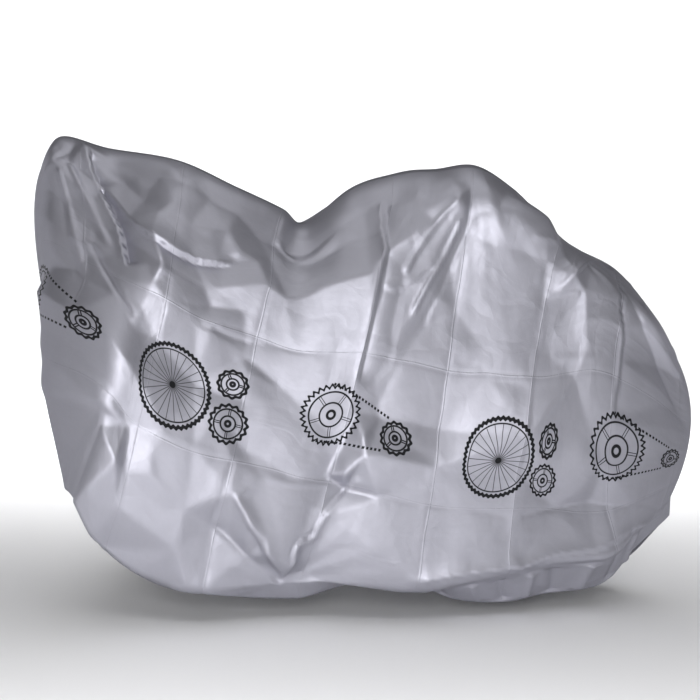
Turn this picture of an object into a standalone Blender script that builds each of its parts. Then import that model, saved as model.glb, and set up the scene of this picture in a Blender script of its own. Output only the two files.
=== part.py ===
"""Bicycle cover: two panels of silver-grey film, welded along the top and down both ends, as they hang from a
front peak, which leans to one side, and a rear peak.

Metres, +Z up. X runs to the rear of the cover, and the near side is -Y. The origin is the underside of the rear
peak, where the cover is held, so heights in the tables, which are above the floor, are lowered by REST_HEIGHT.

A panel is a sheet with two fabric coordinates: along, from the front seam to the rear seam, and down, from the
top seam to the hem. A table of stations gives the course of each upright line of the fabric, and a table of
folds says where the sheet stands out from that course or sinks below it.
"""

import bmesh
import bpy
import numpy as np

REST_HEIGHT = 0.99
PANEL_LENGTH = 2.00
PANEL_DEPTH = 1.10
BELLY_DOWN = 0.62  # how far down the fabric the belly of each station lies
FILM = 0.0015
SEAM_GAP = 0.0004  # half the clear width between the two panels where they are welded
SEAM_OPENING = 0.012  # how far each panel moves away from the other beyond the weld
SHOULDER_DOWN = 0.07  # share of the depth at which a station's shoulder stands out most
SEAM_FADE = 0.06  # folds die out over this distance from a welded edge

CELLS = (48, 24)  # of each panel's grid, along and down

# The welded top seam, from the front corner to the rear corner.
TOP_COLUMNS = ("along", "x", "y", "z")
TOP_SEAM = [
    (0.00, -0.975, 0.07, 0.955),
    (0.13, -0.94, 0.07, 1.02),
    (0.30, -0.82, 0.05, 1.00),
    (0.45, -0.66, -0.02, 0.98),
    (0.58, -0.54, -0.03, 0.93),
    (0.70, -0.43, 0.00, 0.88),
    (0.78, -0.38, 0.02, 0.85),
    (0.86, -0.28, 0.03, 0.93),
    (0.95, -0.18, 0.02, 0.967),
    (1.08, -0.09, 0.01, 0.98),
    (1.20, 0.00, 0.00, 0.99),
    (1.30, 0.08, 0.00, 0.945),
    (1.45, 0.20, 0.00, 0.835),
    (1.55, 0.24, 0.00, 0.81),
    (1.70, 0.33, 0.00, 0.765),
    (1.84, 0.41, 0.00, 0.68),
    (2.00, 0.48, 0.00, 0.57),
]

# Where each upright line of the fabric passes the belly, the lip at which the hem turns in, and the hem.
# bunch above 1 gathers the fabric towards the top.
SIDE_COLUMNS = (
    "along",
    "belly_x",
    "belly_y",
    "belly_z",
    "lip_x",
    "lip_y",
    "lip_z",
    "hem_y",
    "hem_z",
    "turned_in",
    "shoulder",
    "bunch",
)
NEAR_STATIONS = [
    (0.00, -0.965, 0.03, 0.66, -0.865, 0.02, 0.27, 0.04, 0.26, 0.03, 0.00, 1.0),
    (0.13, -0.94, -0.12, 0.68, -0.88, -0.16, 0.28, -0.14, 0.27, 0.03, 0.02, 1.0),
    (0.30, -0.78, -0.27, 0.63, -0.85, -0.30, 0.29, -0.28, 0.28, 0.03, 0.02, 1.0),
    (0.45, -0.70, -0.28, 0.57, -0.79, -0.29, 0.18, -0.27, 0.17, 0.04, 0.02, 1.0),
    (0.58, -0.60, -0.27, 0.52, -0.68, -0.27, 0.11, -0.25, 0.09, 0.04, 0.02, 1.0),
    (0.70, -0.50, -0.25, 0.49, -0.58, -0.26, 0.09, -0.24, 0.07, 0.05, 0.02, 1.0),
    (0.86, -0.35, -0.24, 0.45, -0.44, -0.25, 0.09, -0.21, 0.05, 0.06, 0.03, 1.0),
    (0.95, -0.28, -0.23, 0.44, -0.37, -0.24, 0.09, -0.20, 0.05, 0.07, 0.03, 1.0),
    (1.08, -0.18, -0.22, 0.42, -0.24, -0.23, 0.09, -0.18, 0.08, 0.09, 0.05, 1.0),
    (1.20, -0.07, -0.20, 0.39, -0.11, -0.21, 0.09, -0.17, 0.07, 0.12, 0.05, 1.0),
    (1.30, 0.00, -0.19, 0.38, -0.03, -0.20, 0.11, -0.16, 0.04, 0.15, 0.04, 1.1),
    (1.45, 0.12, -0.17, 0.37, 0.10, -0.17, 0.13, -0.14, 0.03, 0.18, 0.03, 1.3),
    (1.55, 0.18, -0.16, 0.36, 0.17, -0.16, 0.14, -0.12, 0.04, 0.20, 0.03, 1.5),
    (1.70, 0.29, -0.14, 0.35, 0.32, -0.13, 0.14, -0.08, 0.055, 0.22, 0.04, 1.7),
    (1.84, 0.41, -0.09, 0.35, 0.40, -0.08, 0.19, -0.04, 0.13, 0.23, 0.05, 1.4),
    (2.00, 0.52, 0.00, 0.34, 0.49, 0.00, 0.24, 0.00, 0.195, 0.24, 0.00, 1.0),
]
FAR_STATIONS = [
    (0.00, -0.965, 0.03, 0.66, -0.865, 0.02, 0.27, 0.04, 0.26, 0.03, 0.00, 1.0),
    (0.10, -0.93, 0.12, 0.66, -0.82, 0.11, 0.26, 0.10, 0.25, 0.04, 0.03, 1.0),
    (0.22, -0.87, 0.19, 0.65, -0.76, 0.20, 0.24, 0.19, 0.23, 0.04, 0.04, 1.0),
    (0.40, -0.74, 0.24, 0.60, -0.69, 0.30, 0.19, 0.28, 0.18, 0.05, 0.04, 1.0),
    (0.60, -0.58, 0.26, 0.54, -0.55, 0.30, 0.13, 0.27, 0.11, 0.06, 0.04, 1.0),
    (0.85, -0.36, 0.24, 0.49, -0.34, 0.27, 0.10, 0.23, 0.08, 0.08, 0.03, 1.0),
    (1.10, -0.13, 0.21, 0.44, -0.12, 0.23, 0.09, 0.18, 0.07, 0.10, 0.05, 1.0),
    (1.35, 0.08, 0.18, 0.41, 0.08, 0.19, 0.09, 0.14, 0.05, 0.13, 0.04, 1.2),
    (1.60, 0.25, 0.15, 0.38, 0.25, 0.15, 0.09, 0.09, 0.03, 0.18, 0.03, 1.5),
    (1.84, 0.41, 0.09, 0.37, 0.41, 0.08, 0.13, 0.05, 0.07, 0.22, 0.05, 1.4),
    (2.00, 0.52, 0.00, 0.34, 0.49, 0.00, 0.24, 0.00, 0.195, 0.24, 0.00, 1.0),
]

# A ridge or groove follows a path of (along, down) points. rise is how far it stands out, or sinks in where it
# is negative, and reach is its half-width.
NEAR_FOLDS = {
    "swag from the front corner": {
        "path": [(0.27, 0.09), (0.37, 0.20), (0.47, 0.28)],
        "rise": 0.020,
        "reach": 0.045,
    },
    "pocket under the swag": {
        "path": [(0.28, 0.17), (0.33, 0.29), (0.39, 0.38)],
        "rise": -0.026,
        "reach": 0.045,
    },
    "edge of the pocket": {
        "path": [(0.25, 0.05), (0.27, 0.22), (0.31, 0.42)],
        "rise": 0.014,
        "reach": 0.040,
    },
    "streak by the front seam": {
        "path": [(0.14, 0.08), (0.18, 0.32), (0.25, 0.60)],
        "rise": 0.010,
        "reach": 0.040,
    },
    "long fold of the front": {
        "path": [(0.32, 0.42), (0.47, 0.47), (0.68, 0.46)],
        "rise": 0.012,
        "reach": 0.040,
    },
    "groove above it": {
        "path": [(0.42, 0.41), (0.52, 0.42), (0.64, 0.41)],
        "rise": -0.012,
        "reach": 0.040,
    },
    "lower front edge": {
        "path": [(0.26, 0.58), (0.31, 0.76), (0.43, 1.00)],
        "rise": 0.018,
        "reach": 0.050,
    },
    "gather to the hem": {
        "path": [(0.70, 0.82), (0.80, 0.93), (0.88, 1.01)],
        "rise": 0.012,
        "reach": 0.040,
    },
    "long ridge from the rear peak": {
        "path": [(1.13, 0.14), (1.05, 0.36), (0.99, 0.55)],
        "rise": 0.014,
        "reach": 0.040,
    },
    "long valley from the rear peak": {
        "path": [(1.16, 0.16), (1.07, 0.40), (1.00, 0.66), (0.89, 0.98)],
        "rise": -0.026,
        "reach": 0.050,
    },
    "lip of the valley": {
        "path": [(1.08, 0.60), (1.04, 0.76), (0.96, 0.90)],
        "rise": 0.014,
        "reach": 0.045,
    },
    "pouch below the rear peak": {
        "path": [(1.10, 0.12), (1.03, 0.20), (0.98, 0.28)],
        "rise": 0.016,
        "reach": 0.045,
    },
    "tuck behind the rear peak": {
        "path": [(1.44, 0.06), (1.50, 0.13), (1.56, 0.16)],
        "rise": -0.018,
        "reach": 0.045,
    },
    "upright edge of the rear": {
        "path": [(1.69, 0.12), (1.72, 0.42), (1.70, 0.86)],
        "rise": 0.012,
        "reach": 0.045,
    },
    "edge beside the rear seam": {
        "path": [(1.88, 0.40), (1.90, 0.60), (1.87, 0.80)],
        "rise": 0.010,
        "reach": 0.040,
    },
}
FAR_FOLDS = {
    "swag from the front corner": {
        "path": [(0.24, 0.12), (0.36, 0.28), (0.50, 0.36)],
        "rise": 0.020,
        "reach": 0.045,
    },
    "pocket under the swag": {
        "path": [(0.24, 0.26), (0.32, 0.40), (0.44, 0.46)],
        "rise": -0.022,
        "reach": 0.045,
    },
    "lower front edge": {
        "path": [(0.30, 0.55), (0.36, 0.78), (0.44, 1.00)],
        "rise": 0.018,
        "reach": 0.050,
    },
    "fall from the front peak": {
        "path": [(0.60, 0.30), (0.64, 0.60), (0.62, 0.98)],
        "rise": -0.018,
        "reach": 0.045,
    },
    "long ridge from the rear peak": {
        "path": [(1.12, 0.14), (1.02, 0.40), (0.92, 0.72)],
        "rise": 0.018,
        "reach": 0.045,
    },
    "long valley from the rear peak": {
        "path": [(1.20, 0.16), (1.12, 0.48), (1.02, 0.92)],
        "rise": -0.024,
        "reach": 0.045,
    },
    "tuck behind the rear peak": {
        "path": [(1.42, 0.08), (1.48, 0.22), (1.50, 0.46)],
        "rise": -0.018,
        "reach": 0.045,
    },
    "upright edge of the rear": {
        "path": [(1.68, 0.14), (1.72, 0.45), (1.70, 0.84)],
        "rise": 0.014,
        "reach": 0.045,
    },
}


def through(knots, values, at):
    """A smooth curve through the values at the knots, read at each place in the array."""
    steps = np.diff(knots)
    slopes = np.diff(values) / steps
    inner = (slopes[:-1] * steps[1:] + slopes[1:] * steps[:-1]) / (steps[1:] + steps[:-1])
    tangents = np.concatenate([slopes[:1], inner, slopes[-1:]])
    span = np.clip(np.searchsorted(knots, at, side="right") - 1, 0, len(steps) - 1)
    share = (at - knots[span]) / steps[span]
    rise = values[span + 1] - values[span]
    first = tangents[span] * steps[span]
    last = tangents[span + 1] * steps[span]
    bend = 3 * rise - 2 * first - last + share * (first + last - 2 * rise)
    return values[span] + share * (first + share * bend)


def columns(table, names, at):
    """Each column of a station table, read at each place along the panel."""
    rows = np.array(table)
    return {name: through(rows[:, 0], rows[:, n], at) for n, name in enumerate(names) if n}


def parabola(start, middle, end, share, middle_share):
    """The parabola through three points, the middle one at its own share of the way."""
    from_start = (share - middle_share) * (share - 1) / middle_share
    from_middle = share * (share - 1) / (middle_share * (middle_share - 1))
    from_end = share * (share - middle_share) / (1 - middle_share)
    return start * from_start + middle * from_middle + end * from_end


def course(along, down, stations):
    """Points of a panel before its folds: top seam, belly and lip on a parabola, then the turned-in hem."""
    seam = columns(TOP_SEAM, TOP_COLUMNS, along)
    side = columns(stations, SIDE_COLUMNS, along)
    lip_down = PANEL_DEPTH - side["turned_in"]
    belly = BELLY_DOWN / lip_down
    share = np.clip(down / lip_down, 0, 1)
    share = np.where(share < belly, belly * (share / belly) ** side["bunch"], share)
    x = parabola(seam["x"], side["belly_x"], side["lip_x"], share, belly)
    y = parabola(seam["y"], side["belly_y"], side["lip_y"], share, belly)
    z = parabola(seam["z"], side["belly_z"], side["lip_z"], share, belly)
    out = np.sign(stations[len(stations) // 2][2])
    y += out * side["shoulder"] * share / SHOULDER_DOWN * np.exp(1 - share / SHOULDER_DOWN)
    turned = np.clip((down - lip_down) / side["turned_in"], 0, 1)
    y += (side["hem_y"] - y) * turned
    z += (side["hem_z"] - z) * turned
    return np.stack([x, y, z - REST_HEIGHT], axis=-1)


def outward(points, along_step, down_step, out):
    """Unit normals of the grid of points, on the side that looks away from the inside."""
    across = np.gradient(points, along_step, axis=0)
    downward = np.gradient(points, down_step, axis=1)
    normals = out * np.cross(across, downward)
    return normals / np.linalg.norm(normals, axis=-1, keepdims=True)


def fold_height(along, down, path, rise, reach):
    """A bell-shaped ridge along the path, which rises from nothing at one end and dies out at the other."""
    path = np.array(path)
    lengths = np.linalg.norm(np.diff(path, axis=0), axis=1)
    starts = np.concatenate([[0], np.cumsum(lengths)])
    marks = np.linspace(0, starts[-1], 8 * len(path))
    spine = np.stack([np.interp(marks, starts, path[:, axis]) for axis in (0, 1)], axis=-1)
    fade = np.sqrt(np.clip(np.sin(np.pi * marks / starts[-1]), 0, 1))
    offset_along = along[..., None] - spine[:, 0]
    offset_down = down[..., None] - spine[:, 1]
    near_spine = np.exp(-(offset_along**2 + offset_down**2) / reach**2) * fade
    return rise * near_spine.max(axis=-1)


def panel_points(stations, folds, out):
    """The grid of points of one folded panel, with its first row on the top seam."""
    along, down = np.meshgrid(
        np.linspace(0, PANEL_LENGTH, CELLS[0] + 1), np.linspace(0, PANEL_DEPTH, CELLS[1] + 1), indexing="ij"
    )
    points = course(along, down, stations)
    normals = outward(points, PANEL_LENGTH / CELLS[0], PANEL_DEPTH / CELLS[1], out)
    height = sum(fold_height(along, down, **fold) for fold in folds.values())
    to_edge = np.minimum(np.minimum(along, PANEL_LENGTH - along), down)
    height *= np.clip(to_edge / SEAM_FADE, 0, 1)
    points += normals * height[..., None]
    opening = SEAM_GAP + SEAM_OPENING * (1 - np.exp(-to_edge / SEAM_FADE))
    points[..., 1] += out * opening
    return points


def film_material(name, colour, roughness):
    material = bpy.data.materials.new(name)
    material.use_nodes = True
    shader = material.node_tree.nodes["Principled BSDF"]
    shader.inputs["Base Color"].default_value = (*colour, 1)
    shader.inputs["Roughness"].default_value = roughness
    shader.inputs["Metallic"].default_value = 0.3
    return material


def film_panel(name, stations, folds, out, material, collection):
    """A grid moved onto the panel's points, then given the film's thickness on its outer side."""
    points = panel_points(stations, folds, out)
    mesh = bpy.data.meshes.new(name)
    grid = bmesh.new()
    bmesh.ops.create_grid(grid, x_segments=CELLS[0], y_segments=CELLS[1], size=1)
    for vertex in grid.verts:
        column = round((vertex.co.x + 1) / 2 * CELLS[0])
        row = round((vertex.co.y + 1) / 2 * CELLS[1])
        vertex.co = points[column, row]
    if out < 0:
        bmesh.ops.reverse_faces(grid, faces=grid.faces)
    bmesh.ops.triangulate(grid, faces=grid.faces)
    grid.to_mesh(mesh)
    grid.free()
    mesh.shade_smooth()
    mesh.materials.append(material)
    panel = bpy.data.objects.new(name, mesh)
    collection.objects.link(panel)
    thicken = panel.modifiers.new("film", "SOLIDIFY")
    thicken.thickness = FILM
    thicken.offset = 1
    thicken.use_even_offset = False
    return panel


def build():
    for obj in list(bpy.data.objects):
        bpy.data.objects.remove(obj)
    collection = bpy.data.collections.new("Bicycle cover")
    bpy.context.scene.collection.children.link(collection)
    near_film = film_material("Silver film, near panel", (0.45, 0.45, 0.48), 0.42)
    far_film = film_material("Silver film, far panel", (0.42, 0.42, 0.45), 0.45)
    film_panel("near_side_panel", NEAR_STATIONS, NEAR_FOLDS, -1, near_film, collection)
    film_panel("far_side_panel", FAR_STATIONS, FAR_FOLDS, 1, far_film, collection)


build()
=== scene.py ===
import math

import bpy
import numpy as np
from bpy.props import FloatProperty, FloatVectorProperty, IntProperty, PointerProperty
from mathutils import Matrix, Vector
from mathutils.geometry import delaunay_2d_cdt


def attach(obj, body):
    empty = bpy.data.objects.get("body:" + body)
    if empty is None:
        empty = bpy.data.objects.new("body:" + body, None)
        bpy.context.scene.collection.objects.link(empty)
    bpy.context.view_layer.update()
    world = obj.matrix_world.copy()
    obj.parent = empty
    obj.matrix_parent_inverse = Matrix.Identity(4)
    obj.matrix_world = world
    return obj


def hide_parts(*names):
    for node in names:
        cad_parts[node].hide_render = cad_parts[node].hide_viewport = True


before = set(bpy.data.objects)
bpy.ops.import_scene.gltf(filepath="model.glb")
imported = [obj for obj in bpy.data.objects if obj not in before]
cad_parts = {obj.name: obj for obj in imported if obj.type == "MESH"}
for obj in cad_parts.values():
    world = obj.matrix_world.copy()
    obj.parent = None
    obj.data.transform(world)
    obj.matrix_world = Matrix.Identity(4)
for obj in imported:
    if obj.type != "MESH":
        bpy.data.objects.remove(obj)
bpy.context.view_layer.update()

bl_info = {
    "name": "Bicycle cover",
    "version": (1, 0, 0),
    "blender": (4, 5, 0),
    "location": "3D View > Sidebar > Bicycle cover",
    "description": "Makes a draped bicycle cover of printed silver film, and the studio round it",
    "category": "Add Mesh",
}

# Sizes of the film sheet and of its drape, in metres. Heights in the tables are above the floor.
REST_HEIGHT = 0.99
PANEL_LENGTH = 2.00
PANEL_DEPTH = 1.10
BELLY_DOWN = 0.62
SHOULDER_DOWN = 0.07
SEAM_GAP = 0.0002
SEAM_OPENING = 0.012
SEAM_FADE = 0.05
SEAM_SHARE = 0.08
GRID_STEP = 0.0068
EDGE_SOFT = 0.0028
SPINE_STEP = 0.004

# Shares of a fold's half-width or rise: how far a fold is worked out, how round its edge is, where a roof's slopes
# end, and how deep and how steep the foot of a pleat's step is.
FOLD_REACH = 3.2
ROOF_EDGE = 0.08
CREASE_EDGE = 0.1
ROOF_END = 1.08
FOOT_DEPTH = 0.4
FOOT_STEEPNESS = 2

TOP_COLUMNS = ("along", "x", "y", "z")
TOP_SEAM = [
    (0.00, -0.975, 0.07, 0.955),
    (0.13, -0.94, 0.07, 1.02),
    (0.30, -0.82, 0.05, 1.00),
    (0.45, -0.66, -0.02, 0.98),
    (0.58, -0.54, -0.03, 0.93),
    (0.70, -0.43, 0.00, 0.88),
    (0.78, -0.38, 0.02, 0.85),
    (0.86, -0.28, 0.03, 0.93),
    (0.95, -0.18, 0.02, 0.967),
    (1.08, -0.09, 0.01, 0.98),
    (1.20, 0.00, 0.00, 0.99),
    (1.30, 0.08, 0.00, 0.945),
    (1.45, 0.20, 0.00, 0.835),
    (1.55, 0.24, 0.00, 0.81),
    (1.70, 0.33, 0.00, 0.765),
    (1.84, 0.41, 0.00, 0.68),
    (2.00, 0.48, 0.00, 0.57),
]

SIDE_COLUMNS = (
    "along", "belly_x", "belly_y", "belly_z", "lip_x", "lip_y", "lip_z", "hem_y", "hem_z", "turned_in",
    "shoulder", "bunch",
)
NEAR_STATIONS = [
    (0.00, -0.965, 0.03, 0.66, -0.865, 0.02, 0.27, 0.04, 0.26, 0.03, 0.00, 1.0),
    (0.13, -0.94, -0.12, 0.68, -0.88, -0.16, 0.28, -0.14, 0.27, 0.03, 0.02, 1.0),
    (0.30, -0.78, -0.27, 0.63, -0.85, -0.30, 0.29, -0.28, 0.28, 0.03, 0.02, 1.0),
    (0.45, -0.70, -0.28, 0.57, -0.79, -0.29, 0.18, -0.27, 0.17, 0.04, 0.02, 1.0),
    (0.58, -0.60, -0.27, 0.52, -0.68, -0.27, 0.11, -0.25, 0.09, 0.04, 0.02, 1.0),
    (0.70, -0.50, -0.25, 0.49, -0.58, -0.26, 0.09, -0.24, 0.07, 0.05, 0.02, 1.0),
    (0.86, -0.35, -0.24, 0.45, -0.44, -0.25, 0.09, -0.21, 0.05, 0.06, 0.03, 1.0),
    (0.95, -0.28, -0.23, 0.44, -0.37, -0.24, 0.09, -0.20, 0.05, 0.07, 0.03, 1.0),
    (1.08, -0.18, -0.22, 0.42, -0.24, -0.23, 0.09, -0.18, 0.08, 0.09, 0.05, 1.0),
    (1.20, -0.07, -0.20, 0.39, -0.11, -0.21, 0.09, -0.17, 0.07, 0.12, 0.05, 1.0),
    (1.30, 0.00, -0.19, 0.38, -0.03, -0.20, 0.11, -0.16, 0.04, 0.15, 0.04, 1.1),
    (1.45, 0.12, -0.17, 0.37, 0.10, -0.17, 0.13, -0.14, 0.03, 0.18, 0.03, 1.3),
    (1.55, 0.18, -0.16, 0.36, 0.17, -0.16, 0.14, -0.12, 0.04, 0.20, 0.03, 1.5),
    (1.70, 0.29, -0.14, 0.35, 0.32, -0.13, 0.14, -0.08, 0.055, 0.22, 0.04, 1.7),
    (1.84, 0.41, -0.09, 0.35, 0.40, -0.08, 0.19, -0.04, 0.13, 0.23, 0.05, 1.4),
    (2.00, 0.52, 0.00, 0.34, 0.49, 0.00, 0.24, 0.00, 0.195, 0.24, 0.00, 1.0),
]
FAR_STATIONS = [
    (0.00, -0.965, 0.03, 0.66, -0.865, 0.02, 0.27, 0.04, 0.26, 0.03, 0.00, 1.0),
    (0.10, -0.93, 0.12, 0.66, -0.82, 0.11, 0.26, 0.10, 0.25, 0.04, 0.03, 1.0),
    (0.22, -0.87, 0.19, 0.65, -0.76, 0.20, 0.24, 0.19, 0.23, 0.04, 0.04, 1.0),
    (0.40, -0.74, 0.24, 0.60, -0.69, 0.30, 0.19, 0.28, 0.18, 0.05, 0.04, 1.0),
    (0.60, -0.58, 0.26, 0.54, -0.55, 0.30, 0.13, 0.27, 0.11, 0.06, 0.04, 1.0),
    (0.85, -0.36, 0.24, 0.49, -0.34, 0.27, 0.10, 0.23, 0.08, 0.08, 0.03, 1.0),
    (1.10, -0.13, 0.21, 0.44, -0.12, 0.23, 0.09, 0.18, 0.07, 0.10, 0.05, 1.0),
    (1.35, 0.08, 0.18, 0.41, 0.08, 0.19, 0.09, 0.14, 0.05, 0.13, 0.04, 1.2),
    (1.60, 0.25, 0.15, 0.38, 0.25, 0.15, 0.09, 0.09, 0.03, 0.18, 0.03, 1.5),
    (1.84, 0.41, 0.09, 0.37, 0.41, 0.08, 0.13, 0.05, 0.07, 0.22, 0.05, 1.4),
    (2.00, 0.52, 0.00, 0.34, 0.49, 0.00, 0.24, 0.00, 0.195, 0.24, 0.00, 1.0),
]

# A fold follows a path of (along, down) points. rise is its height in mm, below nothing where it sinks in, and
# width its half-width in mm, or its half-widths on its two sides, which grow by the share widen to the path's end.
# It dies out over the fades, in mm. A pleat's high side, and the first half-width of a pair, are to the rear of a
# path that runs down, and above one that runs to the rear.
FOLD_COLUMNS = ("kind", "rise", "width", "widen", "fade_in", "fade_out", "path")
# The creases between the film's flat facets. A row is one crease: the places that it runs through, as metres along,
# metres down and rise in mm. A place where two creases meet stands in the first of them only.
NEAR_CREASES = [
    # The front peak and the streaks that fall from it.
    [(0.133, 0.123, -9), (0.167, 0.273, -34), (0.184, 0.391, -29), (0.198, 0.497, -32), (0.228, 0.607, 17)],
    [(0.192, 0.095, -19), (0.226, 0.201, -25), (0.253, 0.292, -33), (0.282, 0.375, -22)],
    [(0.232, 0.038, 17), (0.258, 0.172, -27), (0.282, 0.29, -28), (0.313, 0.394, -14)],
    [(0.328, 0.257, -7), (0.389, 0.335, -3)],
    [(0.227, 0.425, -34), (0.304, 0.448, -13)],
    # The swag behind them: its lip, its roll and the facets above.
    [(0.251, 0.119, -23), (0.295, 0.18, -20), (0.406, 0.294, 20), (0.516, 0.294, -16), (0.622, 0.25, -10)],
    [(0.287, 0.113, -22), (0.362, 0.16, -21), (0.412, 0.205, 1), (0.464, 0.241, -3)],
    [(0.322, 0.103, -27), (0.451, 0.149, 3)],
    [(0.354, 0.067, -17), (0.409, 0.058, -13), (0.503, 0.063, -11)],
    [(0.493, 0.198, -9)],
    # The long fold of the front, and the wrinkles above it.
    [(0.418, 0.415, 7), (0.509, 0.43, -5), (0.591, 0.449, -12), (0.68, 0.462, -20)],
    [(0.4, 0.378, 1)],
    [(0.478, 0.36, -3), (0.551, 0.354, -16)],
    [(0.438, 0.36, 16)],
    [(0.469, 0.067, -4), (0.535, 0.07, -17), (0.601, 0.073, -17), (0.66, 0.116, -29)],
    [(0.587, 0.16, -7)],
    [(0.611, 0.203, -4)],
    [(0.578, 0.23, -17)],
    [(0.692, 0.185, -17)],
    [(0.662, 0.227, -2)],
    [(0.584, 0.343, -13), (0.687, 0.355, -2)],
    [(0.577, 0.397, -21), (0.654, 0.38, -12)],
    [(0.549, 0.451, -15)],
    [(0.687, 0.291, 12)],
    # The valley between the two peaks.
    [(0.765, 0.159, -12), (0.833, 0.155, -13), (0.9, 0.155, -10)],
    [(0.731, 0.125, -26)],
    [(0.744, 0.306, 12), (0.832, 0.268, 16), (0.923, 0.255, 18)],
    [(0.781, 0.441, -13), (0.86, 0.452, -13), (0.954, 0.463, -10)],
    # The pocket below the rear peak: its edge, its lip and the line above it.
    [(0.863, 0.023, -8), (0.94, 0.03, -5), (1.055, 0.017, -7), (1.173, 0.006, -17)],
    [(0.843, 0.094, -6), (0.886, 0.081, -14), (0.929, 0.059, -7), (1.055, 0.049, -8), (1.181, 0.037, -10)],
    [(0.939, 0.129, -1), (0.955, 0.195, 14), (0.952, 0.279, 10), (0.95, 0.362, 2), (0.95, 0.527, -16)],
    [(0.863, 0.163, -10)],
    [(1.035, 0.088, -5), (0.996, 0.137, 1)],
    [(1.099, 0.064, -3), (1.037, 0.152, 2), (0.976, 0.244, 8)],
    [(1.155, 0.062, 1), (1.096, 0.118, -9), (1.06, 0.183, -9), (1.02, 0.251, -4)],
    [(1.147, 0.102, -9), (1.105, 0.175, -11)],
    [(1.099, 0.266, -7), (1.066, 0.348, -13)],
    [(1.184, 0.128, -22), (1.155, 0.203, -21), (1.13, 0.283, -14), (1.106, 0.365, -23)],
    [(1.114, 0.215, -10)],
    # The long diagonal from the rear peak to the hem: its bright ridge and the groove beside it.
    [(1.03, 0.425, -20), (0.995, 0.507, -22), (0.965, 0.59, -21), (0.949, 0.669, -28), (0.931, 0.748, -29),
     (0.916, 0.829, -14)],
    [(1.054, 0.46, -22), (1.025, 0.552, -29), (1, 0.643, 3), (0.976, 0.736, -2), (0.905, 0.913, -2),
     (0.895, 1.015, -11)],
    [(1.01, 0.362, -11)],
    [(1.036, 0.586, -28), (1.014, 0.681, 8), (0.995, 0.777, -34), (0.965, 0.84, -11), (0.9, 0.983, 6)],
    [(0.951, 0.996, -16)],
    # Facets and folds that gather at the hem before it.
    [(0.575, 0.612, -26), (0.645, 0.67, -5), (0.712, 0.73, -11), (0.775, 0.792, -3)],
    [(0.679, 0.506, -22), (0.768, 0.55, -23)],
    [(0.7, 0.542, -15), (0.701, 0.619, -16)],
    [(0.715, 0.834, 17), (0.767, 0.895, 22), (0.825, 0.955, 18)],
    [(0.762, 0.844, 6), (0.816, 0.921, 15)],
    [(0.69, 0.92, -6), (0.784, 0.974, -2)],
    [(0.727, 0.925, -6)],
    [(0.7, 0.76, 3)],
    [(0.694, 0.979, 6), (0.701, 1.048, 21)],
    [(0.855, 0.778, -16)],
    [(0.496, 0.76, 7), (0.598, 0.75, 6)],
    [(0.526, 0.745, 6)],
    [(0.504, 0.796, 17), (0.51, 0.845, 23), (0.558, 0.91, 17), (0.609, 0.976, 20), (0.66, 1.047, 23)],
    [(0.551, 0.869, 20), (0.611, 0.891, 15)],
    # The lower front: the turn round to the front seam and the creases on it.
    [(0.289, 0.505, -10), (0.363, 0.553, -5), (0.452, 0.591, -7)],
    [(0.395, 0.497, -4), (0.464, 0.551, -13)],
    [(0.47, 0.447, 1)],
    [(0.199, 0.701, 12), (0.195, 0.776, 22), (0.079, 0.876, 23)],
    [(0.295, 0.834, -5), (0.43, 0.781, 0)],
    [(0.265, 0.813, 10), (0.325, 0.856, -3), (0.4, 0.875, 34), (0.455, 0.945, 22)],
    [(0.451, 0.874, 19), (0.461, 1.046, -1)],
    [(0.462, 0.685, 11)],
    # Behind the rear peak: the upright creases, the tuck and the crinkles between them.
    [(1.18, 0.303, -19), (1.18, 0.393, -13), (1.18, 0.485, -17), (1.181, 0.579, -17), (1.18, 0.668, 4),
     (1.178, 0.76, 1), (1.177, 0.855, 11), (1.178, 0.955, 24)],
    [(1.255, 0.082, 7), (1.271, 0.154, -1), (1.287, 0.228, -3)],
    [(1.306, 0.004, 6)],
    [(1.373, 0.048, 34), (1.449, 0.101, 15), (1.581, 0.216, 21)],
    [(1.336, 0.004, 1), (1.435, 0.05, 6)],
    [(1.416, 0.234, 9)],
    [(1.401, 0.139, 9), (1.419, 0.37, 5), (1.425, 0.473, 10), (1.43, 0.57, 22), (1.435, 0.675, 1),
     (1.44, 0.795, 12), (1.444, 0.919, 32)],
    [(1.601, 0.308, 23), (1.623, 0.389, 18)],
    [(1.504, 0.16, 33), (1.592, 0.09, 8), (1.695, 0.015, -6)],
    [(1.589, 0.459, 14), (1.725, 0.454, 16)],
    [(1.45, 0.347, 6)],
    [(1.473, 0.394, 6), (1.675, 0.403, 16)],
    [(1.283, 0.389, -7), (1.353, 0.395, 2)],
    [(1.304, 0.449, -4)],
    [(1.707, 0.208, 9), (1.732, 0.301, 20), (1.735, 0.395, 17), (1.729, 0.543, 9)],
    [(1.705, 0.621, -4), (1.675, 0.738, -28), (1.662, 0.862, 6)],
    [(1.718, 0.104, -9), (1.788, 0.217, 5), (1.856, 0.308, -12), (1.935, 0.405, -9)],
    # The crease of the rear row, the lip over the turned-in hem and the folds below it.
    [(1.079, 0.781, -7)],
    [(1.301, 0.77, 5)],
    [(1.573, 0.755, -13)],
    [(1.795, 0.766, -7), (1.988, 0.925, 2)],
]

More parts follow.
